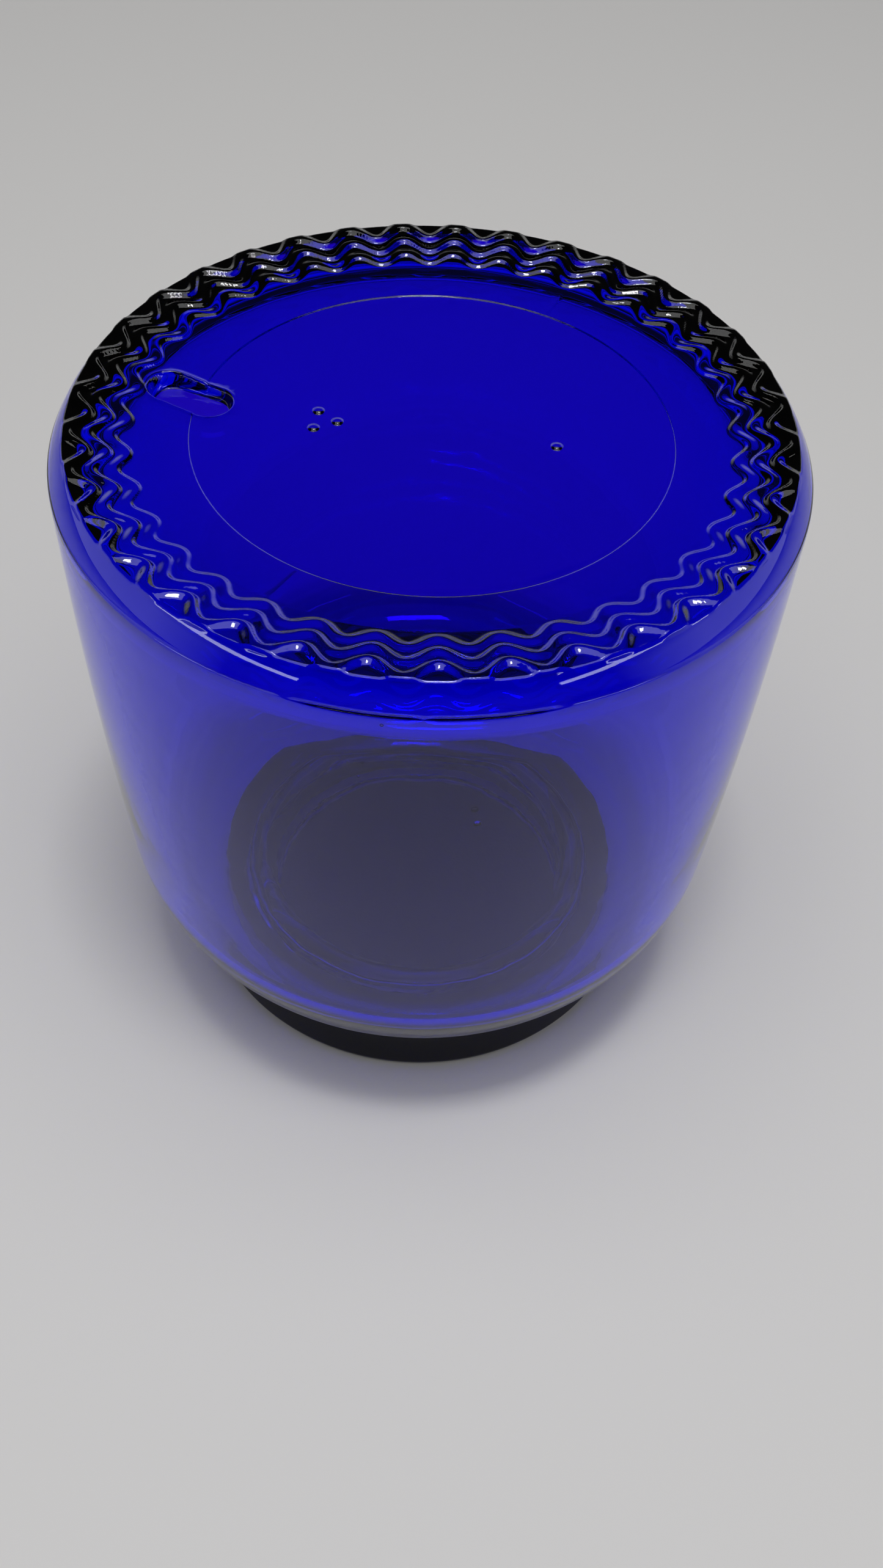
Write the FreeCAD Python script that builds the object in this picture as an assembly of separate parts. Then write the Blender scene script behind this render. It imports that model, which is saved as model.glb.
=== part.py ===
import FreeCAD, Part
import math
import os

# A wide-mouth glass jar that stands upside down on its screw cap.
# Z = 0 is the flat outer face of the cap, +Z runs up the axis to the jar's base.
# Each separate piece is one node: the jar, the cap and the liner between them.

# --- overall sizes, mm ---
TOTAL_HEIGHT = 78.0        # outer face of the cap to the knurled bearing ring
BODY_RADIUS = 38.0         # widest point of the jar, just below the heel
WALL = 3.0                 # glass wall of the body and shoulder

# --- base, measured down from TOTAL_HEIGHT ---
DISC_RADIUS = 24.15        # bottom plate disc inside the seam circle
DISC_DROP = 1.9
SEAM_STEP = 0.12           # step at the seam circle
LAND_EDGE = (29.2, 1.5)    # smooth land round the disc, radius and drop of its outer edge
RING_EDGE = (36.1, 0.1)    # the bearing ring slopes up to here under the knurl
HEEL_MID = (37.3, 1.9)     # a point half way round the heel
JOINT = (37.82, 2.9)       # mould joint line round the heel
JOINT_STEP = 0.14
WIDEST_DROP = 3.8

# --- inside of the base, radius and drop ---
INSIDE_FLOOR = (29.0, 4.8) # edge of the flat floor
INSIDE_TURN = (33.17, 5.56)
INSIDE_WALL_TOP = (34.9, 7.4)

# --- knurl: rows of in-phase waves round the bearing ring ---
WAVES = 36
WAVE_CREST_DEG = 2.0       # angle of one inward crest
ROWS = ((30.6, 0.72, 0.8), (32.6, 0.88, 0.4), (34.65, 0.98, 0.0))  # mean radius, swing, top drop
WAVE_CURL = 1.2            # radius of the wave's crests and troughs
RIDGE_WIDTH = 0.9
RIDGE_ROOT_DROP = 2.7

# --- index slot and mould dots on the base ---
SLOT_CENTRE = (-24.7, 4.3)
SLOT_LENGTH = 9.2
SLOT_WIDTH = 4.7
SLOT_ANGLE_DEG = -24.5
SLOT_DEPTH = 1.1           # below the bottom plate disc
DOT_PLACES = ((-11.6, 2.6), (-9.6, 0.95), (-11.9, -0.2), (12.3, -1.75))
DOT_RADIUS = 0.62
DOT_HEIGHT = 0.28

# --- body, shoulder and finish, heights above Z = 0 ---
BODY_MID = (37.6, 49.3)    # radius and height of a point on the gently curved side
SHOULDER_START = (36.3, 24.04)
SHOULDER_RADIUS = 18.9
SHOULDER_START_DEG = 3.84  # lean of the side where the shoulder starts
SHOULDER_TURN_DEG = 47.0
SHOULDER_ROLL_RADIUS = 3.0
INSIDE_SHOULDER_MID = (29.6, 15.9)
MOUTH_EDGE = (23.0, 13.2)  # where the inside of the shoulder turns down into the bore
MOUTH_ROUND = 4.0
NECK_RADIUS = 22.0
NECK_FILLET = 1.0
BORE_RADIUS = 19.0
LIP_ROUND = 0.8

# --- thread, the same rib on the glass neck and inside the cap ---
LEAD = 5.0                 # rise of the jar for one turn
THREAD_TURNS = 0.8
THREAD_HEIGHT = 1.2
THREAD_FOOT = 2.0          # width where it leaves the wall
THREAD_CREST = 0.9
THREAD_EMBED = 0.5         # depth of its root in the wall
GLASS_THREAD_START_DEG = 0.0
GLASS_THREAD_START_Z = 4.6
CAP_THREAD_START_DEG = -93.6
CAP_THREAD_START_Z = 4.85  # its flank sits 0.3 clear of the glass thread

# --- cap and liner ---
CAP_RADIUS = 28.6          # outer face
CAP_RIM_RADIUS = 26.0      # the skirt narrows towards its open rim
CAP_INNER_RADIUS = 23.7
CAP_HEIGHT = 10.2
CAP_PANEL = 1.5
CAP_CORNER = 1.5
CAP_RIM_ROUND = 0.3
LINER_RADIUS = 23.4
LINER_THICKNESS = 1.0


def at(radius, height):
    """A point of a section, in the XZ half plane."""
    return FreeCAD.Vector(radius, 0.0, height)


def straight(start, end):
    return Part.LineSegment(at(*start), at(*end)).toShape()


def curve(start, middle, end):
    return Part.Arc(at(*start), at(*middle), at(*end)).toShape()


def on_circle(centre, radius, degrees):
    """Point of a circle in the section, degrees measured from +R towards +Z."""
    turn = math.radians(degrees)
    return (centre[0] + radius * math.cos(turn), centre[1] + radius * math.sin(turn))


def round_corner(centre, radius, first_deg, last_deg):
    middle = on_circle(centre, radius, 0.5 * (first_deg + last_deg))
    return curve(on_circle(centre, radius, first_deg), middle, on_circle(centre, radius, last_deg))


def turned(edges):
    """Revolve a closed section round the Z axis."""
    face = Part.Face(Part.Wire(edges))
    return face.revolve(FreeCAD.Vector(0, 0, 0), FreeCAD.Vector(0, 0, 1), 360)


def jar_blank():
    """The plain turned jar, before its knurl, slot, dots and thread."""
    top = TOTAL_HEIGHT
    lip = CAP_PANEL + LINER_THICKNESS
    disc = (DISC_RADIUS, top - DISC_DROP)
    seam = (DISC_RADIUS, disc[1] + SEAM_STEP)
    land_edge = (LAND_EDGE[0], top - LAND_EDGE[1])
    ring_edge = (RING_EDGE[0], top - RING_EDGE[1])
    heel_mid = (HEEL_MID[0], top - HEEL_MID[1])
    joint = (JOINT[0], top - JOINT[1])
    ledge = (JOINT[0] + JOINT_STEP, joint[1])
    widest = (BODY_RADIUS, top - WIDEST_DROP)

    lean = math.radians(SHOULDER_START_DEG)
    bend = (
        SHOULDER_START[0] - SHOULDER_RADIUS * math.cos(lean),
        SHOULDER_START[1] + SHOULDER_RADIUS * math.sin(lean),
    )
    roll = on_circle(bend, SHOULDER_RADIUS - SHOULDER_ROLL_RADIUS, -SHOULDER_TURN_DEG)
    under = (roll[0], roll[1] - SHOULDER_ROLL_RADIUS)
    fillet = (NECK_RADIUS + NECK_FILLET, under[1] - NECK_FILLET)

    mouth = (MOUTH_EDGE[0], MOUTH_EDGE[1] - MOUTH_ROUND)
    inside_shoulder = on_circle(bend, SHOULDER_RADIUS - WALL, -SHOULDER_START_DEG)
    floor_edge = (INSIDE_FLOOR[0], top - INSIDE_FLOOR[1])
    inside_turn = (INSIDE_TURN[0], top - INSIDE_TURN[1])
    inside_top = (INSIDE_WALL_TOP[0], top - INSIDE_WALL_TOP[1])
    inside_mid = (BODY_MID[0] - WALL, 0.5 * (inside_top[1] + inside_shoulder[1]))

    edges = [
        straight((0, disc[1]), disc),
        straight(disc, seam),
        straight(seam, land_edge),
        straight(land_edge, ring_edge),
        curve(ring_edge, heel_mid, joint),
        straight(joint, ledge),
        straight(ledge, widest),
        curve(widest, BODY_MID, SHOULDER_START),
        round_corner(bend, SHOULDER_RADIUS, -SHOULDER_START_DEG, -SHOULDER_TURN_DEG),
        round_corner(roll, SHOULDER_ROLL_RADIUS, -SHOULDER_TURN_DEG, -90),
        straight(under, (fillet[0], under[1])),
        round_corner(fillet, NECK_FILLET, 90, 180),
        straight((NECK_RADIUS, fillet[1]), (NECK_RADIUS, lip + LIP_ROUND)),
        round_corner((NECK_RADIUS - LIP_ROUND, lip + LIP_ROUND), LIP_ROUND, 0, -90),
        straight((NECK_RADIUS - LIP_ROUND, lip), (BORE_RADIUS + LIP_ROUND, lip)),
        round_corner((BORE_RADIUS + LIP_ROUND, lip + LIP_ROUND), LIP_ROUND, 270, 180),
        straight((BORE_RADIUS, lip + LIP_ROUND), (BORE_RADIUS, mouth[1])),
        round_corner(mouth, MOUTH_ROUND, 180, 90),
        curve(MOUTH_EDGE, INSIDE_SHOULDER_MID, inside_shoulder),
        curve(inside_shoulder, inside_mid, inside_top),
        curve(inside_top, inside_turn, floor_edge),
        straight(floor_edge, (0, floor_edge[1])),
        straight((0, floor_edge[1]), (0, disc[1])),
    ]
    return turned(edges)


def polar(radius, turn):
    return FreeCAD.Vector(radius * math.cos(turn), radius * math.sin(turn), 0)


def wave_loop(mean_radius, swing, offset):
    """Closed wavy line: equal arcs joined by straight flanks, then moved outwards by offset."""
    count = 2 * WAVES
    half = math.pi / WAVES
    first = math.radians(WAVE_CREST_DEG)
    inward = [step % 2 == 0 for step in range(count)]
    radii = [WAVE_CURL - offset if crest else WAVE_CURL + offset for crest in inward]
    reach = [mean_radius - swing if crest else mean_radius + swing for crest in inward]
    lean = [WAVE_CURL if crest else -WAVE_CURL for crest in inward]
    centres = [polar(reach[k] + lean[k], first + k * half) for k in range(count)]
    entries = [None] * count
    exits = [None] * count
    for k in range(count):
        after = (k + 1) % count
        span = centres[after] - centres[k]
        swivel = math.acos(2 * WAVE_CURL / span.Length)
        side = 1 if inward[k] else -1
        direction = FreeCAD.Rotation(FreeCAD.Vector(0, 0, 1), math.degrees(side * swivel))
        normal = direction.multVec(span.normalize())
        exits[k] = centres[k] + normal * radii[k]
        entries[after] = centres[after] - normal * radii[after]
    edges = []
    for k in range(count):
        tip = reach[k] + lean[k] - (radii[k] if inward[k] else -radii[k])
        edges.append(Part.Arc(entries[k], polar(tip, first + k * half), exits[k]).toShape())
        edges.append(Part.LineSegment(exits[k], entries[(k + 1) % count]).toShape())
    return Part.Wire(edges)


def knurl_row(mean_radius, swing, top_drop):
    """One wavy ridge, rooted in the glass of the base."""
    loops = [wave_loop(mean_radius, swing, side * 0.5 * RIDGE_WIDTH) for side in (1, -1)]
    band = Part.makeFace(loops, "Part::FaceMakerBullseye")
    band.translate(FreeCAD.Vector(0, 0, TOTAL_HEIGHT - RIDGE_ROOT_DROP))
    return band.extrude(FreeCAD.Vector(0, 0, RIDGE_ROOT_DROP - top_drop))


def index_slot():
    """Stadium-shaped recess near the knurl, cut down into the base."""
    half = 0.5 * (SLOT_LENGTH - SLOT_WIDTH)
    floor = TOTAL_HEIGHT - DISC_DROP - SLOT_DEPTH
    rise = TOTAL_HEIGHT - floor + 1.0
    middle = Part.makeBox(2 * half, SLOT_WIDTH, rise, FreeCAD.Vector(-half, -0.5 * SLOT_WIDTH, 0))
    ends = [Part.makeCylinder(0.5 * SLOT_WIDTH, rise, FreeCAD.Vector(x, 0, 0)) for x in (-half, half)]
    slot = middle.multiFuse(ends).removeSplitter()
    slot.rotate(FreeCAD.Vector(0, 0, 0), FreeCAD.Vector(0, 0, 1), SLOT_ANGLE_DEG)
    slot.translate(FreeCAD.Vector(SLOT_CENTRE[0], SLOT_CENTRE[1], floor))
    return slot


def mould_dot(x, y):
    """Low round pip standing on the bottom plate disc."""
    sphere_radius = (DOT_RADIUS ** 2 + DOT_HEIGHT ** 2) / (2 * DOT_HEIGHT)
    disc = TOTAL_HEIGHT - DISC_DROP
    return Part.makeSphere(sphere_radius, FreeCAD.Vector(x, y, disc + DOT_HEIGHT - sphere_radius))


def thread(root_radius, outward, start_deg, start_z):
    """Helical rib standing out of a cylinder, outward = 1, or into a bore, outward = -1."""
    foot = root_radius - outward * THREAD_EMBED
    crest = root_radius + outward * THREAD_HEIGHT
    flank = 0.5 * (THREAD_FOOT - THREAD_CREST) / THREAD_HEIGHT
    half_foot = 0.5 * THREAD_FOOT + flank * THREAD_EMBED
    corners = [
        at(foot, -half_foot),
        at(crest, -0.5 * THREAD_CREST),
        at(crest, 0.5 * THREAD_CREST),
        at(foot, half_foot),
    ]
    section = Part.makePolygon(corners + corners[:1])
    path = Part.makeHelix(LEAD, LEAD * THREAD_TURNS, 0.5 * (foot + crest))
    rib = Part.Wire(path.Edges).makePipeShell([section], True, True)
    rib.rotate(FreeCAD.Vector(0, 0, 0), FreeCAD.Vector(0, 0, 1), start_deg)
    rib.translate(FreeCAD.Vector(0, 0, start_z))
    return rib


def glass_jar():
    jar = jar_blank()
    for row in ROWS:
        jar = jar.fuse(knurl_row(*row))
    jar = jar.cut(index_slot())
    jar = jar.multiFuse([mould_dot(x, y) for x, y in DOT_PLACES])
    return jar.fuse(thread(NECK_RADIUS, 1, GLASS_THREAD_START_DEG, GLASS_THREAD_START_Z))


def screw_cap():
    corner = (CAP_RADIUS - CAP_CORNER, CAP_CORNER)
    rim = (CAP_RIM_RADIUS - CAP_RIM_ROUND, CAP_HEIGHT - CAP_RIM_ROUND)
    edges = [
        straight((0, 0), (corner[0], 0)),
        round_corner(corner, CAP_CORNER, -90, 0),
        straight((CAP_RADIUS, CAP_CORNER), (CAP_RIM_RADIUS, rim[1])),
        round_corner(rim, CAP_RIM_ROUND, 0, 90),
        straight((rim[0], CAP_HEIGHT), (CAP_INNER_RADIUS, CAP_HEIGHT)),
        straight((CAP_INNER_RADIUS, CAP_HEIGHT), (CAP_INNER_RADIUS, CAP_PANEL)),
        straight((CAP_INNER_RADIUS, CAP_PANEL), (0, CAP_PANEL)),
        straight((0, CAP_PANEL), (0, 0)),
    ]
    return turned(edges).fuse(thread(CAP_INNER_RADIUS, -1, CAP_THREAD_START_DEG, CAP_THREAD_START_Z))


def cap_liner():
    return Part.makeCylinder(LINER_RADIUS, LINER_THICKNESS, FreeCAD.Vector(0, 0, CAP_PANEL))


NODES = {"glass_jar": glass_jar, "screw_cap": screw_cap, "cap_liner": cap_liner}

os.makedirs("parts", exist_ok=True)
for name, make in NODES.items():
    shape = make()
    print(name, "solids", len(shape.Solids), "valid", shape.isValid(), "volume", round(shape.Volume, 1))
    shape.exportStep("parts/" + name + ".step")
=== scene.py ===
import math

import bpy
import numpy as np
from mathutils import Matrix, Vector
from mathutils.geometry import delaunay_2d_cdt


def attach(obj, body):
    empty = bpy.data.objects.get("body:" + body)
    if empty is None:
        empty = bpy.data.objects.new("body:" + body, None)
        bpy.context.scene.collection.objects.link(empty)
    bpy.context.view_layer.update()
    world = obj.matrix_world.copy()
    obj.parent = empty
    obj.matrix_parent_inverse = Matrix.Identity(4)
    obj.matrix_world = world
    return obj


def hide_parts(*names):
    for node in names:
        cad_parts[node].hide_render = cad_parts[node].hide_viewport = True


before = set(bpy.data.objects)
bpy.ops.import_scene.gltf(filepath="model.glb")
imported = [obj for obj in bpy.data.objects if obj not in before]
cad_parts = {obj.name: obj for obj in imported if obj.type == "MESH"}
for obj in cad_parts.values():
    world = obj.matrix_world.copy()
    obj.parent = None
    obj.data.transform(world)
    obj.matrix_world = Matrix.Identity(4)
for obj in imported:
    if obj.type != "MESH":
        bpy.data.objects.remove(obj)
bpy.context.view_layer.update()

MM = 0.001

# --- sizes in millimetres; drops are measured down from the top, angles from +X ---
# The jar, upside down, as in the CAD model apart from the bearing ring's slope and the ridges.
# The joint's groove, the slot's raised edge, the fins and the seeds are in this mesh only.
TOP = 78.0                     # knurled bearing ring, the highest point
DISC_RADIUS, DISC_DROP = 24.15, 1.9  # bottom plate disc inside the seam circle
SEAM_STEP, SEAM_WIDTH = 0.12, 0.12
SEAM_RINGS = (-0.45, -0.13, -0.06, 0.0, 0.06, 0.15, 0.55)  # points each side of the seam's step
LAND_INNER, LAND_INNER_DROP = 29.2, 1.38  # edge of the smooth land round the disc
LAND_OUTER, LAND_OUTER_DROP = 36.1, 0.24  # the bearing ring slopes up to here under the knurl
HEEL_MID = (37.3, 76.1)        # radius and height of a point half way round the heel
JOINT = (37.82, 75.1)          # mould joint line round the heel
JOINT_STEP = 0.14              # the body is this much wider just below the joint
JOINT_RINGS = ((0.3, 0.05), (0.6, 0.1), (0.8, 0.16), (0.9, 0.22), (0.98, 0.3))  # share of the step, drop
JOINT_DENT = 0.16              # depth of the joint's groove, which crosses only the front
JOINT_DENT_DROPS, JOINT_DENT_SHARES = (0.26, 0.16, 0.1, 0.0), (0.0, 1.0, 1.0, 0.0)  # its profile
JOINT_DENT_REACH = 0.35        # the groove lies within this height of the joint
JOINT_FRONT_DEG = (-110.0, -69.5)
JOINT_FADE = 0.12              # radians over which the groove runs out at each end
JOINT_NOTCH_DEG = -90.2
JOINT_NOTCH = (0.004, 0.012)   # radians from its middle, where its flat ends and where it is gone
BODY_RADIUS = 37.99            # a hair inside the CAD body
WIDEST_HEIGHT = 74.2
BODY_MID = (37.6, 49.3)        # radius and height of a point on the gently curved side
SHOULDER_START = (36.3, 24.04)
SHOULDER_RADIUS = 18.9
LEAN_DEG = 3.84                # lean of the side where the shoulder starts
TURN_DEG = 47.0                # and where the shoulder ends
ROLL_RADIUS = 3.0              # rolls under from the shoulder to the neck
NECK_RADIUS, NECK_FILLET = 22.0, 1.0
BORE_RADIUS = 19.0
MOUTH_EDGE = (23.0, 13.2)      # inside, where the floor of the shoulder turns down into the bore
MOUTH_ROUND = 4.0
INSIDE_SHOULDER_MID = (29.6, 15.9)
WALL = 3.0
LIP_HEIGHT, LIP_ROUND = 2.5, 0.8
INSIDE_BASE = 73.2             # inside of the bottom plate
INSIDE_FLAT = 29.0             # where the inside floor starts to fall away
INSIDE_CORNER = (34.9, 70.6)   # where it meets the side wall
INSIDE_RINGS = (24.0, 18.0, 12.0, 6.0)  # rings of points across the inside floor

# The closure.
CAP_RADIUS, CAP_RIM_RADIUS, CAP_HEIGHT = 28.6, 26.0, 10.2
CAP_INNER = 23.7
CAP_PANEL, CAP_CORNER, CAP_RIM = 1.5, 1.5, 0.3
LINER_RADIUS, LINER_THICK = 23.4, 1.0
FLAT_RING = 12.0               # a ring half way out keeps the flat faces' triangles short
CREASE = 0.02                  # a ring this near a sharp edge keeps its shading crisp

# The knurl: three rows of ridges that wave in phase.
WAVES = 36
WAVE_CREST_DEG = 2.0           # angle of one inward crest
WAVE_ROWS = ((30.6, 0.72, 0.24), (32.6, 0.88, 0.3), (34.65, 0.98, 0.48))  # mean radius, swing, height
RIDGE_INWARD, RIDGE_OUTWARD = 0.5, 1.1  # a ridge is steep inwards and runs out gently outwards
RIDGE_POWER = 2.0
PLAN_RIM = LAND_INNER - 0.2    # the free plan of points ends here and the knurl's rings take over
PLAN_CLEAR = 0.15              # clearance of the free points from that rim
KNURL_START, KNURL_STEP = LAND_INNER - 0.04, 0.15  # the knurl's rings of points

# The index slot, dots, fins and seeds.
SLOT_CENTRE = (-24.7, 4.3)
SLOT_HALF, SLOT_ROUND = 2.25, 2.35
SLOT_ANGLE_DEG = -24.5
SLOT_DEPTH = 1.1
SLOT_WALL = (0.15, -0.6)       # from the edge outwards and inwards, where its wall starts and ends
# distances from the slot's edge at which its outline is repeated as points
SLOT_LEVELS = (-2.0, -1.5, -1.2, -1.0, -0.9, -0.8, -0.65, -0.5, -0.35, -0.2, -0.05, 0.1, 0.2, 0.3, 0.5)
SLOT_RIM = 0.12                # slightly raised edge round the slot
SLOT_RIM_OUT, SLOT_RIM_WIDTH = 0.2, 0.25
SLOT_STEP = 0.22               # spacing of points round its ends
DOTS = ((-11.6, 2.6), (-9.6, 0.95), (-11.9, -0.2), (12.3, -1.75))
DOT_RADIUS, DOT_HEIGHT, DOT_POWER = 0.62, 0.28, 0.7
DOT_RINGS, DOT_AROUND = (0.15, 0.3, 0.42, 0.52, 0.58, 0.64, 0.8), 24
FINS_DEG = (61.0, -118.7)      # fine fins across the land, where the mould halves meet
FIN_HEIGHT, FIN_HALF_WIDTH = 0.05, 0.16
FIN_START, FIN_END = (24.3, 25.0), (32.0, 34.0)  # radii over which a fin rises and dies out
SEEDS = ((-81.8, 18.0, 0.8), (-95.4, 4.8, 0.35), (-98.6, 11.9, 0.3))  # degrees, drop, size
SEED_FLATNESS = 0.7            # its thickness in the wall against its width
SEED_DEPTH = 0.45              # share of the wall's thickness in from the outside

# The threads.
LEAD = 5.0
THREAD_HEIGHT, THREAD_FOOT, THREAD_CREST = 1.2, 2.0, 0.9
THREAD_TURNS = 0.8
THREAD_FADE = 0.06             # share of its length over which each end runs out
THREAD_RINGS = 31              # rings of points down a threaded wall
GLASS_THREAD_START = (0.0, 4.6)  # degrees and height
CAP_THREAD_START = (-93.6, 4.85)

FINE = 720                     # points round the knurled ring
COARSE = 360                   # points round the body
TURNED = 240                   # points round the cap and the liner

# --- looks, in metres ---
GLASS_IOR = 1.52
GLASS_COLOUR, GLASS_DENSITY = (0.36, 0.0, 0.984, 1), 1100.0  # what the glass lets through
CAP_COLOUR, CAP_IOR, CAP_SPECULAR = (0.002, 0.002, 0.005, 1), 1.5, 0.3
LINER_DARK, LINER_GRAIN = (0.004, 0.004, 0.005, 1), (0.012, 0.012, 0.014, 1)
# painted light on the liner: the pale colour of a ring that stands in for light at the glass lip, and
# where that ring starts
LINER_PAINTED_LIGHT = (0.45, 0.43, 0.45, 1)
PAINTED_LIGHT_RADIUS = 0.0188        # painted light: outside this radius the liner is painted pale, standing in for the bright ring of light at the glass lip
PAINTED_LIGHT_EDGE = 0.0006
PAPER_COLOUR = (0.80, 0.79, 0.78, 1)

# --- studio, in metres ---
SKYLINE, SKY_ABOVE = 0.75, 0.02  # brightness near the horizon and above
SKY_START, SKY_END = 0.22, 0.42  # heights between which the sky darkens
FRONT_DARK, FRONT_FADE, FRONT_STRENGTH = -0.6, 0.4, 0.05  # the sky behind the camera is dark
FLOOR_HALF = 1.5
CAMERA_PLACE = (0.0, -0.1234, 0.1684)
CAMERA_PITCH_DEG, CAMERA_YAW_DEG, CAMERA_ROLL_DEG = 49.57, 1.19, 2.90
CAMERA_LENS = 34.6
CAMERA_SHIFT_Y = -0.0066
FLOOR_AIM = (0.0, 0.0, 0.0)
BASE_AIM = (0.0, 0.0, 0.07)
PANELS = (
    # name, place, aim, width, height, power
    ("overhead_panel", (0.0, -0.15, 0.9), FLOOR_AIM, 0.9, 0.8, 3.7),
    ("key_panel", (0.03, -0.12, 0.9), FLOOR_AIM, 0.2, 0.12, 2.0),
    ("left_strip", (-0.5, -0.35, 0.28), BASE_AIM, 0.5, 0.03, 0.25),
    ("right_strip", (0.5, -0.3, 0.3), BASE_AIM, 0.5, 0.03, 0.25),
)


def smooth(edge0, edge1, value):
    """Eases from 0 at edge0 to 1 at edge1."""
    t = np.clip((value - edge0) / (edge1 - edge0), 0.0, 1.0)
    return t * t * (3.0 - 2.0 * t)


# --- the base, as a height over each point of the plan ---
def slot_distance(x, y):
    """Signed distance to the slot's edge, negative inside."""
    turn = math.radians(SLOT_ANGLE_DEG)
    dx, dy = x - SLOT_CENTRE[0], y - SLOT_CENTRE[1]
    along = dx * math.cos(turn) + dy * math.sin(turn)
    across = -dx * math.sin(turn) + dy * math.cos(turn)
    beyond = np.maximum(np.abs(along) - SLOT_HALF, 0.0)
    return np.hypot(beyond, across) - SLOT_ROUND


def base_height(x, y):
    """Height of the jar's base over each point of the plan."""
    x, y = np.asarray(x, float), np.asarray(y, float)
    r = np.hypot(x, y)
    turn = np.arctan2(y, x)
    disc = TOP - DISC_DROP
    half_seam = 0.5 * SEAM_WIDTH
    land = np.interp(
        r,
        (0.0, DISC_RADIUS - half_seam, DISC_RADIUS + half_seam, LAND_INNER, LAND_OUTER),
        (disc, disc, disc + SEAM_STEP, TOP - LAND_INNER_DROP, TOP - LAND_OUTER_DROP),
    )
    z = land.copy()
    swing_phase = WAVES * (turn - math.radians(WAVE_CREST_DEG))
    for mean, swing, height in WAVE_ROWS:
        centre = mean - swing * np.cos(swing_phase)
        slope = swing * WAVES * np.sin(swing_phase) / mean
        offset = (r - centre) / np.sqrt(1.0 + slope * slope)
        reach = np.where(offset < 0.0, RIDGE_INWARD, RIDGE_OUTWARD)
        z = np.maximum(z, land + height * np.clip(1.0 - (offset / reach) ** 2, 0.0, 1.0) ** RIDGE_POWER)
    for x0, y0 in DOTS:
        near = np.clip(1.0 - (np.hypot(x - x0, y - y0) / DOT_RADIUS) ** 2, 0.0, 1.0)
        z = z + DOT_HEIGHT * near ** DOT_POWER
    for degrees in FINS_DEG:
        line = math.radians(degrees)
        across = np.abs(-x * math.sin(line) + y * math.cos(line))
        ahead = x * math.cos(line) + y * math.sin(line)
        fin = FIN_HEIGHT * np.clip(1.0 - across / FIN_HALF_WIDTH, 0.0, 1.0)
        z = z + fin * smooth(*FIN_START, ahead) * (1.0 - smooth(*FIN_END, ahead))
    d = slot_distance(x, y)
    z = z - (SLOT_DEPTH + np.maximum(land - disc, 0.0)) * smooth(*SLOT_WALL, d)
    z = z + SLOT_RIM * np.exp(-(((d - SLOT_RIM_OUT) / SLOT_RIM_WIDTH) ** 2))
    return np.minimum(z, TOP)


def polar_points(radius, count):
    """Evenly spaced points round a circle of the plan."""
    turn = np.arange(count) * (2.0 * math.pi / count)
    return np.stack([radius * np.cos(turn), radius * np.sin(turn)], 1)


def base_plan():
    """Plan points of the base inside the knurl, dense where it has detail, with the rim last."""
    points = [np.zeros((1, 2))]
    for ring in np.arange(1.2, 23.6, 1.2):
        points.append(polar_points(ring, max(8, int(ring * 5.0))))
    for beyond in SEAM_RINGS:
        points.append(polar_points(DISC_RADIUS + beyond, COARSE))
    for ring in np.arange(25.4, 28.4, 0.8):
        points.append(polar_points(ring, TURNED))
    turn = math.radians(SLOT_ANGLE_DEG)
    for level in SLOT_LEVELS:
        radius = SLOT_ROUND + level
        steps = max(8, int(math.pi * radius / SLOT_STEP))
        side = np.linspace(-SLOT_HALF, SLOT_HALF, 18)
        bend = np.linspace(-math.pi / 2, math.pi / 2, steps)[1:-1]
        outline = [np.stack([side, np.full_like(side, edge * radius)], 1) for edge in (1.0, -1.0)]
        for end in (1.0, -1.0):
            outline.append(np.stack([end * (SLOT_HALF + radius * np.cos(bend)), radius * np.sin(bend)], 1))
        local = np.concatenate(outline)
        x = SLOT_CENTRE[0] + local[:, 0] * math.cos(turn) - local[:, 1] * math.sin(turn)
        y = SLOT_CENTRE[1] + local[:, 0] * math.sin(turn) + local[:, 1] * math.cos(turn)
        points.append(np.stack([x, y], 1))
    for x0, y0 in DOTS:
        for ring in DOT_RINGS:
            points.append(polar_points(ring, DOT_AROUND) + (x0, y0))
        points.append(np.array([[x0, y0]]))
    for degrees in FINS_DEG:
        line = math.radians(degrees)
        ahead = np.arange(24.5, 28.6, 0.3)
        for across in (-FIN_HALF_WIDTH, 0.0, FIN_HALF_WIDTH):
            x = ahead * math.cos(line) - across * math.sin(line)
            y = ahead * math.sin(line) + across * math.cos(line)
            points.append(np.stack([x, y], 1))
    inner = np.concatenate(points)
    inner = inner[np.hypot(inner[:, 0], inner[:, 1]) < PLAN_RIM - PLAN_CLEAR]
    return inner, polar_points(PLAN_RIM, FINE)


# --- the rest of the jar, as a section ---
def on_circle(centre, radius, degrees):
    turn = math.radians(degrees)
    return (centre[0] + radius * math.cos(turn), centre[1] + radius * math.sin(turn))


def arc(centre, radius, first, last, steps):
    return [on_circle(centre, radius, first + (last - first) * k / steps) for k in range(steps + 1)]


def through(start, middle, end, steps):
    """Points of the circular arc through three points."""
    (ax, ay), (bx, by), (cx, cy) = start, middle, end
    a, b, c = ax * ax + ay * ay, bx * bx + by * by, cx * cx + cy * cy
    d = 2.0 * (ax * (by - cy) + bx * (cy - ay) + cx * (ay - by))
    ux = (a * (by - cy) + b * (cy - ay) + c * (ay - by)) / d
    uy = (a * (cx - bx) + b * (ax - cx) + c * (bx - ax)) / d
    radius = math.hypot(ax - ux, ay - uy)
    first = math.degrees(math.atan2(ay - uy, ax - ux))
    last = math.degrees(math.atan2(cy - uy, cx - ux))
    if last - first > 180.0:
        last -= 360.0
    if first - last > 180.0:
        last += 360.0
    return arc((ux, uy), radius, first, last, steps)


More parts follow.
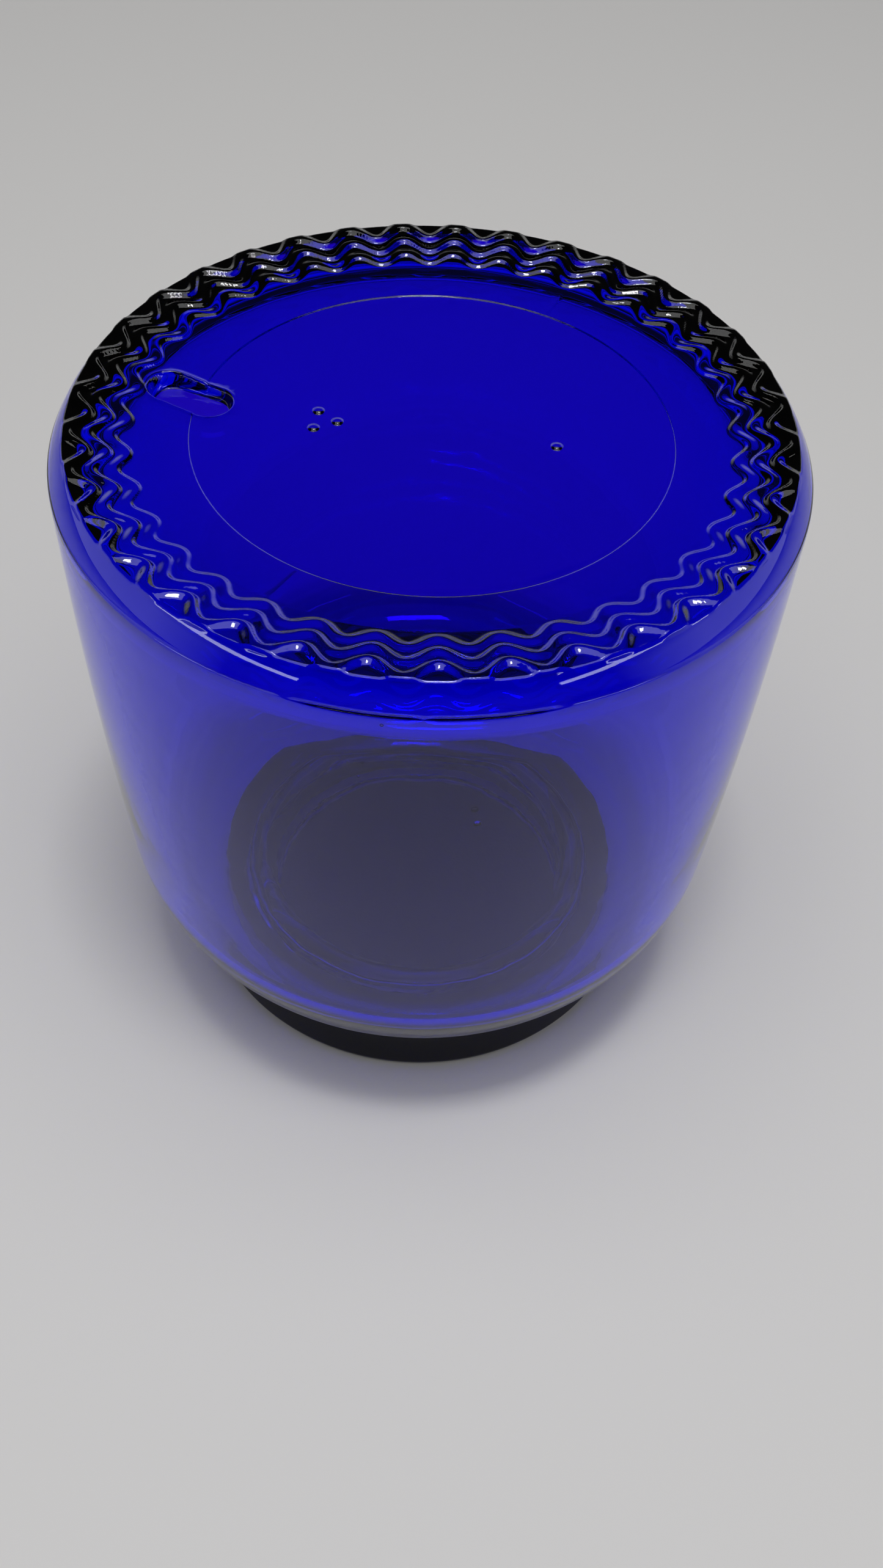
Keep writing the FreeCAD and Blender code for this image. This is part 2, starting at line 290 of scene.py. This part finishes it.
def joint_dent(turn, z):
    """Depth of the groove at the mould joint, with the notch where the mould halves meet."""
    first, last = (math.radians(v) for v in JOINT_FRONT_DEG)
    turn = np.mod(turn + math.pi, 2.0 * math.pi) - math.pi
    front = smooth(first, first + JOINT_FADE, turn) * (1.0 - smooth(last - JOINT_FADE, last, turn))
    notch = smooth(JOINT_NOTCH[1], JOINT_NOTCH[0], np.abs(turn - math.radians(JOINT_NOTCH_DEG)))
    deep = np.interp(z, [JOINT[1] - drop for drop in JOINT_DENT_DROPS], JOINT_DENT_SHARES)
    return JOINT_DENT * deep * front * (1.0 - notch)


def jar_section():
    """Section from the heel down the outside, round the lip and up the inside."""
    bend = (
        SHOULDER_START[0] - SHOULDER_RADIUS * math.cos(math.radians(LEAN_DEG)),
        SHOULDER_START[1] + SHOULDER_RADIUS * math.sin(math.radians(LEAN_DEG)),
    )
    roll = on_circle(bend, SHOULDER_RADIUS - ROLL_RADIUS, -TURN_DEG)
    under = roll[1] - ROLL_RADIUS
    fillet = (NECK_RADIUS + NECK_FILLET, under - NECK_FILLET)
    inner_bend = SHOULDER_RADIUS - WALL
    mouth = (MOUTH_EDGE[0], MOUTH_EDGE[1] - MOUTH_ROUND)
    inside_shoulder = on_circle(bend, inner_bend, -LEAN_DEG)
    inside_mid = (BODY_MID[0] - WALL, 0.5 * (INSIDE_CORNER[1] + inside_shoulder[1]))
    section = []
    section += through((LAND_OUTER, TOP - LAND_OUTER_DROP), HEEL_MID, JOINT, 12)[1:]
    section += [(JOINT[0] + JOINT_STEP * share, JOINT[1] - drop) for share, drop in JOINT_RINGS]
    section += through((BODY_RADIUS, WIDEST_HEIGHT), BODY_MID, SHOULDER_START, 16)
    section += arc(bend, SHOULDER_RADIUS, -LEAN_DEG, -TURN_DEG, 14)[1:]
    section += arc(roll, ROLL_RADIUS, -TURN_DEG, -90.0, 5)[1:]
    section += arc(fillet, NECK_FILLET, 90.0, 180.0, 4)
    section += arc((NECK_RADIUS - LIP_ROUND, LIP_HEIGHT + LIP_ROUND), LIP_ROUND, 0.0, -90.0, 5)
    section += arc((BORE_RADIUS + LIP_ROUND, LIP_HEIGHT + LIP_ROUND), LIP_ROUND, 270.0, 180.0, 5)
    section += arc(mouth, MOUTH_ROUND, 180.0, 90.0, 12)
    section += through(MOUTH_EDGE, INSIDE_SHOULDER_MID, inside_shoulder, 12)[1:]
    section += through(inside_shoulder, inside_mid, INSIDE_CORNER, 12)[1:]
    section += inside_corner(14)
    section += [(r, INSIDE_BASE) for r in INSIDE_RINGS]
    return section


def inside_corner(steps):
    """Flattened quarter round from the side wall up to the inside floor."""
    wall, low = INSIDE_CORNER
    points = []
    for k in range(1, steps + 1):
        turn = 0.5 * math.pi * k / steps
        r = INSIDE_FLAT + (wall - INSIDE_FLAT) * math.cos(turn)
        points.append((r, low + (INSIDE_BASE - low) * math.sin(turn)))
    return points


def cap_section():
    """Section from the middle of the outer face, up the skirt and down to the inner face."""
    section = [(0.0, 0.0), (FLAT_RING, 0.0)]
    section += arc((CAP_RADIUS - CAP_CORNER, CAP_CORNER), CAP_CORNER, -90.0, 0.0, 8)
    section += arc((CAP_RIM_RADIUS - CAP_RIM, CAP_HEIGHT - CAP_RIM), CAP_RIM, 0.0, 90.0, 5)
    section += [(CAP_INNER, CAP_HEIGHT), (CAP_INNER, CAP_HEIGHT - CREASE), (CAP_INNER, CAP_PANEL + CREASE)]
    section += [(CAP_INNER, CAP_PANEL), (CAP_INNER - CREASE, CAP_PANEL), (FLAT_RING, CAP_PANEL)]
    section.append((0.0, CAP_PANEL))
    return section


def liner_section():
    """Section of the flat disc, from the middle below, round its edge to the middle above."""
    low, top = CAP_PANEL, CAP_PANEL + LINER_THICK
    section = [(0.0, low), (FLAT_RING, low), (LINER_RADIUS - CREASE, low), (LINER_RADIUS, low)]
    section += [(LINER_RADIUS, low + CREASE), (LINER_RADIUS, top - CREASE), (LINER_RADIUS, top)]
    section += [(LINER_RADIUS - CREASE, top), (FLAT_RING, top), (0.0, top)]
    return section


class Skin:
    """Collects vertices and faces of one closed mesh, in millimetres."""

    def __init__(self):
        self.verts = []
        self.faces = []

    def add(self, points):
        start = len(self.verts)
        self.verts.extend([tuple(map(float, p)) for p in points])
        return list(range(start, len(self.verts)))

    def bridge(self, outer, inner):
        """Joins two rings of equally many points that run the same way."""
        count = len(outer)
        for k in range(count):
            after = (k + 1) % count
            self.faces.append((outer[k], outer[after], inner[after], inner[k]))

    def mesh(self, name):
        """The collected mesh as an object, in metres."""
        data = bpy.data.meshes.new(name)
        data.from_pydata([(x * MM, y * MM, z * MM) for x, y, z in self.verts], [], self.faces)
        data.validate()
        data.update()
        data.shade_smooth()
        piece = bpy.data.objects.new(name, data)
        bpy.context.scene.collection.objects.link(piece)
        return piece


# --- pieces ---
def ring_at(skin, radius, height, count):
    plan = polar_points(radius, count)
    return skin.add([(x, y, height) for x, y in plan])


def heel_ring(skin, radius, height):
    """A ring of the heel, with the mould joint's groove."""
    turn = np.arange(COARSE) * (2.0 * math.pi / COARSE)
    reach = radius - joint_dent(turn, height)
    return skin.add(np.column_stack([reach * np.cos(turn), reach * np.sin(turn), np.full(COARSE, height)]))


def seed(skin, degrees, drop, size):
    """A seed in the glass wall: a small closed hollow, so its faces look inwards."""
    rows, around = 8, 16
    turn = math.radians(degrees)
    radius = BODY_RADIUS - SEED_DEPTH * WALL
    centre = Vector((radius * math.cos(turn), radius * math.sin(turn), TOP - drop))
    out = Vector((math.cos(turn), math.sin(turn), 0))
    side = Vector((-math.sin(turn), math.cos(turn), 0))
    up = Vector((0, 0, 1))
    first = skin.add([centre + 0.5 * size * up])[0]
    previous = None
    for row in range(1, rows):
        tilt = math.pi * row / rows
        points = []
        for k in range(around):
            spin = 2.0 * math.pi * k / around
            flat = SEED_FLATNESS * math.cos(spin) * out + math.sin(spin) * side
            points.append(centre + 0.5 * size * (math.cos(tilt) * up + math.sin(tilt) * flat))
        ring = skin.add(points)
        for k in range(around):
            after = (k + 1) % around
            if previous is None:
                skin.faces.append((first, ring[after], ring[k]))
            else:
                skin.faces.append((previous[k], previous[after], ring[after], ring[k]))
        previous = ring
    last = skin.add([centre - 0.5 * size * up])[0]
    skin.faces += [(last, previous[k], previous[(k + 1) % around]) for k in range(around)]


def thread_height(turn, z, start):
    """How far the helical rib stands out of its wall, 0 away from it."""
    share = np.mod(turn - math.radians(start[0]), 2.0 * math.pi) / (2.0 * math.pi * THREAD_TURNS)
    middle = start[1] + LEAD * THREAD_TURNS * share
    fade = smooth(0.0, THREAD_FADE, share) * (1.0 - smooth(1.0 - THREAD_FADE, 1.0, share))
    rise = (0.5 * THREAD_FOOT - abs(z - middle)) / (0.5 * (THREAD_FOOT - THREAD_CREST))
    return THREAD_HEIGHT * np.clip(rise, 0.0, 1.0) * fade


def threaded(radius, way, start, top, low, count):
    """Rings down a threaded wall; the rib stands outwards with way 1 and inwards with way -1."""
    turn = np.arange(count) * (2.0 * math.pi / count)
    for z in np.linspace(top, low, THREAD_RINGS + 2)[1:-1]:
        reach = radius + way * thread_height(turn, z, start)
        yield np.column_stack([reach * np.cos(turn), reach * np.sin(turn), np.full(count, z)])


def make_jar():
    """The glass: a free plan of points inside the knurl, then rings all the way round the section."""
    skin = Skin()
    inner, rim = base_plan()
    plan = np.concatenate([inner, rim])
    count = len(inner)
    hull = [(count + k, count + (k + 1) % FINE) for k in range(FINE)]
    points, _, faces, _, _, _ = delaunay_2d_cdt([Vector(p) for p in plan], hull, [], 1, 1e-5)
    flat = np.array([(p.x, p.y) for p in points])
    heights = base_height(flat[:, 0], flat[:, 1])
    index = skin.add(np.column_stack([flat, heights]))
    skin.faces += [tuple(index[k] for k in face) for face in faces]
    radius = np.hypot(flat[:, 0], flat[:, 1])
    edge = np.where(np.abs(radius - PLAN_RIM) < 1e-4)[0]
    order = edge[np.argsort(np.mod(np.arctan2(flat[edge, 1], flat[edge, 0]), 2.0 * math.pi - 1e-6))]
    previous = [index[k] for k in order]

    for r in np.arange(KNURL_START, LAND_OUTER + 0.001, KNURL_STEP):
        plan = polar_points(r, FINE)
        ring = skin.add(np.column_stack([plan, base_height(plan[:, 0], plan[:, 1])]))
        skin.bridge(ring, previous)
        previous = ring

    section = jar_section()
    first = ring_at(skin, *section[0], COARSE)
    few, many = first, previous
    # the fine ring steps down to the coarse one, wound so that faces look outwards
    for k in range(COARSE):
        a, b = few[k], few[(k + 1) % COARSE]
        m0, m1, m2 = many[2 * k], many[2 * k + 1], many[(2 * k + 2) % FINE]
        skin.faces += [(a, m1, m0), (a, b, m1), (b, m2, m1)]
    previous = first
    above = section[0]
    for r, z in section[1:]:
        if r == NECK_RADIUS and above[0] == NECK_RADIUS:
            for points in threaded(NECK_RADIUS, 1, GLASS_THREAD_START, above[1], z, COARSE):
                ring = skin.add(points)
                skin.bridge(ring, previous)
                previous = ring
        above = (r, z)
        at_joint = abs(z - JOINT[1]) < JOINT_DENT_REACH and r > JOINT[0]
        ring = heel_ring(skin, r, z) if at_joint else ring_at(skin, r, z, COARSE)
        skin.bridge(ring, previous)
        previous = ring
    centre = skin.add([(0.0, 0.0, INSIDE_BASE)])[0]
    for k in range(COARSE):
        skin.faces.append((previous[k], centre, previous[(k + 1) % COARSE]))
    for degrees, drop, size in SEEDS:
        seed(skin, degrees, drop, size)
    return skin.mesh("jar_glass")


def turned_piece(name, section, count):
    """A closed turned piece; the section runs from the axis, out, up and back to the axis.

    The long straight wall at the cap's inner radius carries its thread.
    """
    skin = Skin()
    previous = None
    above = section[0]
    first = skin.add([(0.0, 0.0, section[0][1])])[0]
    for r, z in section[1:-1]:
        if r == CAP_INNER and above[0] == CAP_INNER and above[1] - z > 1.0:
            for points in threaded(CAP_INNER, -1, CAP_THREAD_START, above[1], z, count):
                ring = skin.add(points)
                skin.bridge(previous, ring)
                previous = ring
        above = (r, z)
        ring = ring_at(skin, r, z, count)
        if previous is None:
            skin.faces += [(first, ring[(k + 1) % count], ring[k]) for k in range(count)]
        else:
            skin.bridge(previous, ring)
        previous = ring
    last = skin.add([(0.0, 0.0, section[-1][1])])[0]
    skin.faces += [(previous[k], previous[(k + 1) % count], last) for k in range(count)]
    return skin.mesh(name)


# --- materials ---
def material(name):
    made = bpy.data.materials.new(name)
    made.use_nodes = True
    tree = made.node_tree
    return made, tree, tree.nodes["Principled BSDF"], tree.nodes["Material Output"]


def noise(tree, scale, detail):
    where = tree.nodes.new("ShaderNodeTexCoord")
    grain = tree.nodes.new("ShaderNodeTexNoise")
    grain.inputs["Scale"].default_value = scale
    grain.inputs["Detail"].default_value = detail
    tree.links.new(where.outputs["Object"], grain.inputs["Vector"])
    return grain


def ranged(tree, value, low, high, out_low, out_high):
    change = tree.nodes.new("ShaderNodeMapRange")
    change.inputs["From Min"].default_value = low
    change.inputs["From Max"].default_value = high
    change.inputs["To Min"].default_value = out_low
    change.inputs["To Max"].default_value = out_high
    tree.links.new(value, change.inputs["Value"])
    return change.outputs["Result"]


def bump(tree, height, strength, distance, shader):
    node = tree.nodes.new("ShaderNodeBump")
    node.inputs["Strength"].default_value = strength
    node.inputs["Distance"].default_value = distance
    tree.links.new(height, node.inputs["Height"])
    tree.links.new(node.outputs["Normal"], shader.inputs["Normal"])


def cobalt_glass():
    """Clear glass with a blue volume, faintly smeared and uneven on its surface."""
    made, tree, shader, out = material("cobalt_glass")
    shader.inputs["Base Color"].default_value = (1, 1, 1, 1)
    shader.inputs["Transmission Weight"].default_value = 1.0
    shader.inputs["IOR"].default_value = GLASS_IOR
    smear = noise(tree, 60.0, 3.0)
    tree.links.new(ranged(tree, smear.outputs["Fac"], 0.45, 0.75, 0.0, 0.05), shader.inputs["Roughness"])
    peel = noise(tree, 220.0, 1.0)
    bump(tree, peel.outputs["Fac"], 0.12, 0.0001, shader)
    soak = tree.nodes.new("ShaderNodeVolumeAbsorption")
    soak.inputs["Color"].default_value = GLASS_COLOUR
    soak.inputs["Density"].default_value = GLASS_DENSITY
    tree.links.new(soak.outputs["Volume"], out.inputs["Volume"])
    return made


def cap_plastic():
    """Near-black gloss plastic with a fine uneven polish."""
    made, tree, shader, _ = material("cap_plastic")
    shader.inputs["Base Color"].default_value = CAP_COLOUR
    shader.inputs["IOR"].default_value = CAP_IOR
    shader.inputs["Specular IOR Level"].default_value = CAP_SPECULAR
    grain = noise(tree, 900.0, 4.0)
    tree.links.new(ranged(tree, grain.outputs["Fac"], 0.3, 0.8, 0.08, 0.2), shader.inputs["Roughness"])
    bump(tree, grain.outputs["Fac"], 0.05, 0.0001, shader)
    return made


def liner_foam():
    """Dark foam, with a pale ring of painted light under the glass lip, standing in for the light ring at
    the lip.
    """
    made, tree, shader, _ = material("liner_foam")
    grain = noise(tree, 2600.0, 2.0)
    ramp = tree.nodes.new("ShaderNodeValToRGB")
    ramp.color_ramp.elements[0].color = LINER_DARK
    ramp.color_ramp.elements[1].color = LINER_GRAIN
    tree.links.new(grain.outputs["Fac"], ramp.inputs["Fac"])
    where = tree.nodes.new("ShaderNodeTexCoord")
    flat = tree.nodes.new("ShaderNodeVectorMath")
    flat.operation = "MULTIPLY"
    flat.inputs[1].default_value = (1, 1, 0)
    reach = tree.nodes.new("ShaderNodeVectorMath")
    reach.operation = "LENGTH"
    tree.links.new(where.outputs["Object"], flat.inputs[0])
    tree.links.new(flat.outputs["Vector"], reach.inputs[0])
    # painted light: the liner turns pale outside the glass lip's radius, standing in for the light ring at
    # the lip
    painted_light_ring = ranged(tree, reach.outputs["Value"], PAINTED_LIGHT_RADIUS, PAINTED_LIGHT_RADIUS + PAINTED_LIGHT_EDGE, 0.0, 1.0)
    blend = tree.nodes.new("ShaderNodeMixRGB")
    tree.links.new(painted_light_ring, blend.inputs["Fac"])
    tree.links.new(ramp.outputs["Color"], blend.inputs["Color1"])
    blend.inputs["Color2"].default_value = LINER_PAINTED_LIGHT
    tree.links.new(blend.outputs["Color"], shader.inputs["Base Color"])
    shader.inputs["Roughness"].default_value = 0.6
    bump(tree, grain.outputs["Fac"], 0.3, 0.0001, shader)
    return made


# --- floor, light and camera ---
def paper():
    """Pale matt paper with fine fibres."""
    made, tree, shader, _ = material("paper")
    shader.inputs["Base Color"].default_value = PAPER_COLOUR
    shader.inputs["Roughness"].default_value = 0.85
    fibre = noise(tree, 300.0, 6.0)
    bump(tree, fibre.outputs["Fac"], 0.1, 0.0002, shader)
    return made


def make_floor():
    data = bpy.data.meshes.new("floor")
    half = FLOOR_HALF
    corners = [(-half, -half, 0), (half, -half, 0), (half, half, 0), (-half, half, 0)]
    data.from_pydata(corners, [], [(0, 1, 2, 3)])
    floor = bpy.data.objects.new("floor", data)
    bpy.context.scene.collection.objects.link(floor)
    floor.data.materials.append(paper())


def make_world():
    """A bright band round the horizon, dark above it and behind the camera."""
    world = bpy.data.worlds.new("studio")
    bpy.context.scene.world = world
    world.use_nodes = True
    back = world.node_tree.nodes["Background"]
    tree = world.node_tree
    where = tree.nodes.new("ShaderNodeTexCoord")
    axes = tree.nodes.new("ShaderNodeSeparateXYZ")
    ramp = tree.nodes.new("ShaderNodeValToRGB")
    tree.links.new(where.outputs["Generated"], axes.inputs["Vector"])
    tree.links.new(axes.outputs["Z"], ramp.inputs["Fac"])
    stops = ramp.color_ramp.elements
    stops[0].position, stops[0].color = SKY_START, (SKYLINE, SKYLINE, SKYLINE, 1)
    stops[1].position, stops[1].color = SKY_END, (SKY_ABOVE, SKY_ABOVE, SKY_ABOVE, 1)
    tree.links.new(ramp.outputs["Color"], back.inputs["Color"])
    front = axes.outputs["Y"]
    strength = ranged(tree, front, FRONT_DARK, FRONT_DARK + FRONT_FADE, FRONT_STRENGTH, 1.0)
    tree.links.new(strength, back.inputs["Strength"])


def panel(name, place, aim, width, height, power):
    """A rectangular soft light that faces its aim."""
    data = bpy.data.lights.new(name, "AREA")
    data.shape = "RECTANGLE"
    data.size, data.size_y = width, height
    data.energy = power
    lamp = bpy.data.objects.new(name, data)
    lamp.location = place
    lamp.rotation_euler = (Vector(aim) - Vector(place)).to_track_quat("-Z", "Y").to_euler()
    bpy.context.scene.collection.objects.link(lamp)


def make_camera():
    """Close to the jar, looking down on its base."""
    data = bpy.data.cameras.new("camera")
    data.lens = CAMERA_LENS
    data.sensor_width = 36.0
    data.shift_y = CAMERA_SHIFT_Y
    data.clip_start = 0.001
    camera = bpy.data.objects.new("camera", data)
    pitch, yaw, roll = (math.radians(v) for v in (CAMERA_PITCH_DEG, CAMERA_YAW_DEG, CAMERA_ROLL_DEG))
    ahead = Vector((math.sin(yaw) * math.cos(pitch), math.cos(yaw) * math.cos(pitch), -math.sin(pitch)))
    level = Vector((math.cos(yaw), -math.sin(yaw), 0.0))
    rise = level.cross(ahead)
    right = math.cos(roll) * level + math.sin(roll) * rise
    up = -math.sin(roll) * level + math.cos(roll) * rise
    facing = Matrix((right, up, -ahead)).transposed().to_4x4()
    camera.matrix_world = Matrix.Translation(CAMERA_PLACE) @ facing
    bpy.context.scene.collection.objects.link(camera)
    bpy.context.scene.camera = camera


make_camera()
make_world()
make_floor()
for lamp_row in PANELS:
    panel(*lamp_row)
bpy.context.scene.view_settings.view_transform = "Standard"

glass = cobalt_glass()
jar = make_jar()
jar.data.materials.append(glass)
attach(jar, "jar")
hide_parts("glass_jar")

cap = turned_piece("cap_shell", cap_section(), TURNED)
cap.data.materials.append(cap_plastic())
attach(cap, "cap")
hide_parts("screw_cap")
liner = turned_piece("liner_disc", liner_section(), TURNED)
liner.data.materials.append(liner_foam())
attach(liner, "liner")
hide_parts("cap_liner")
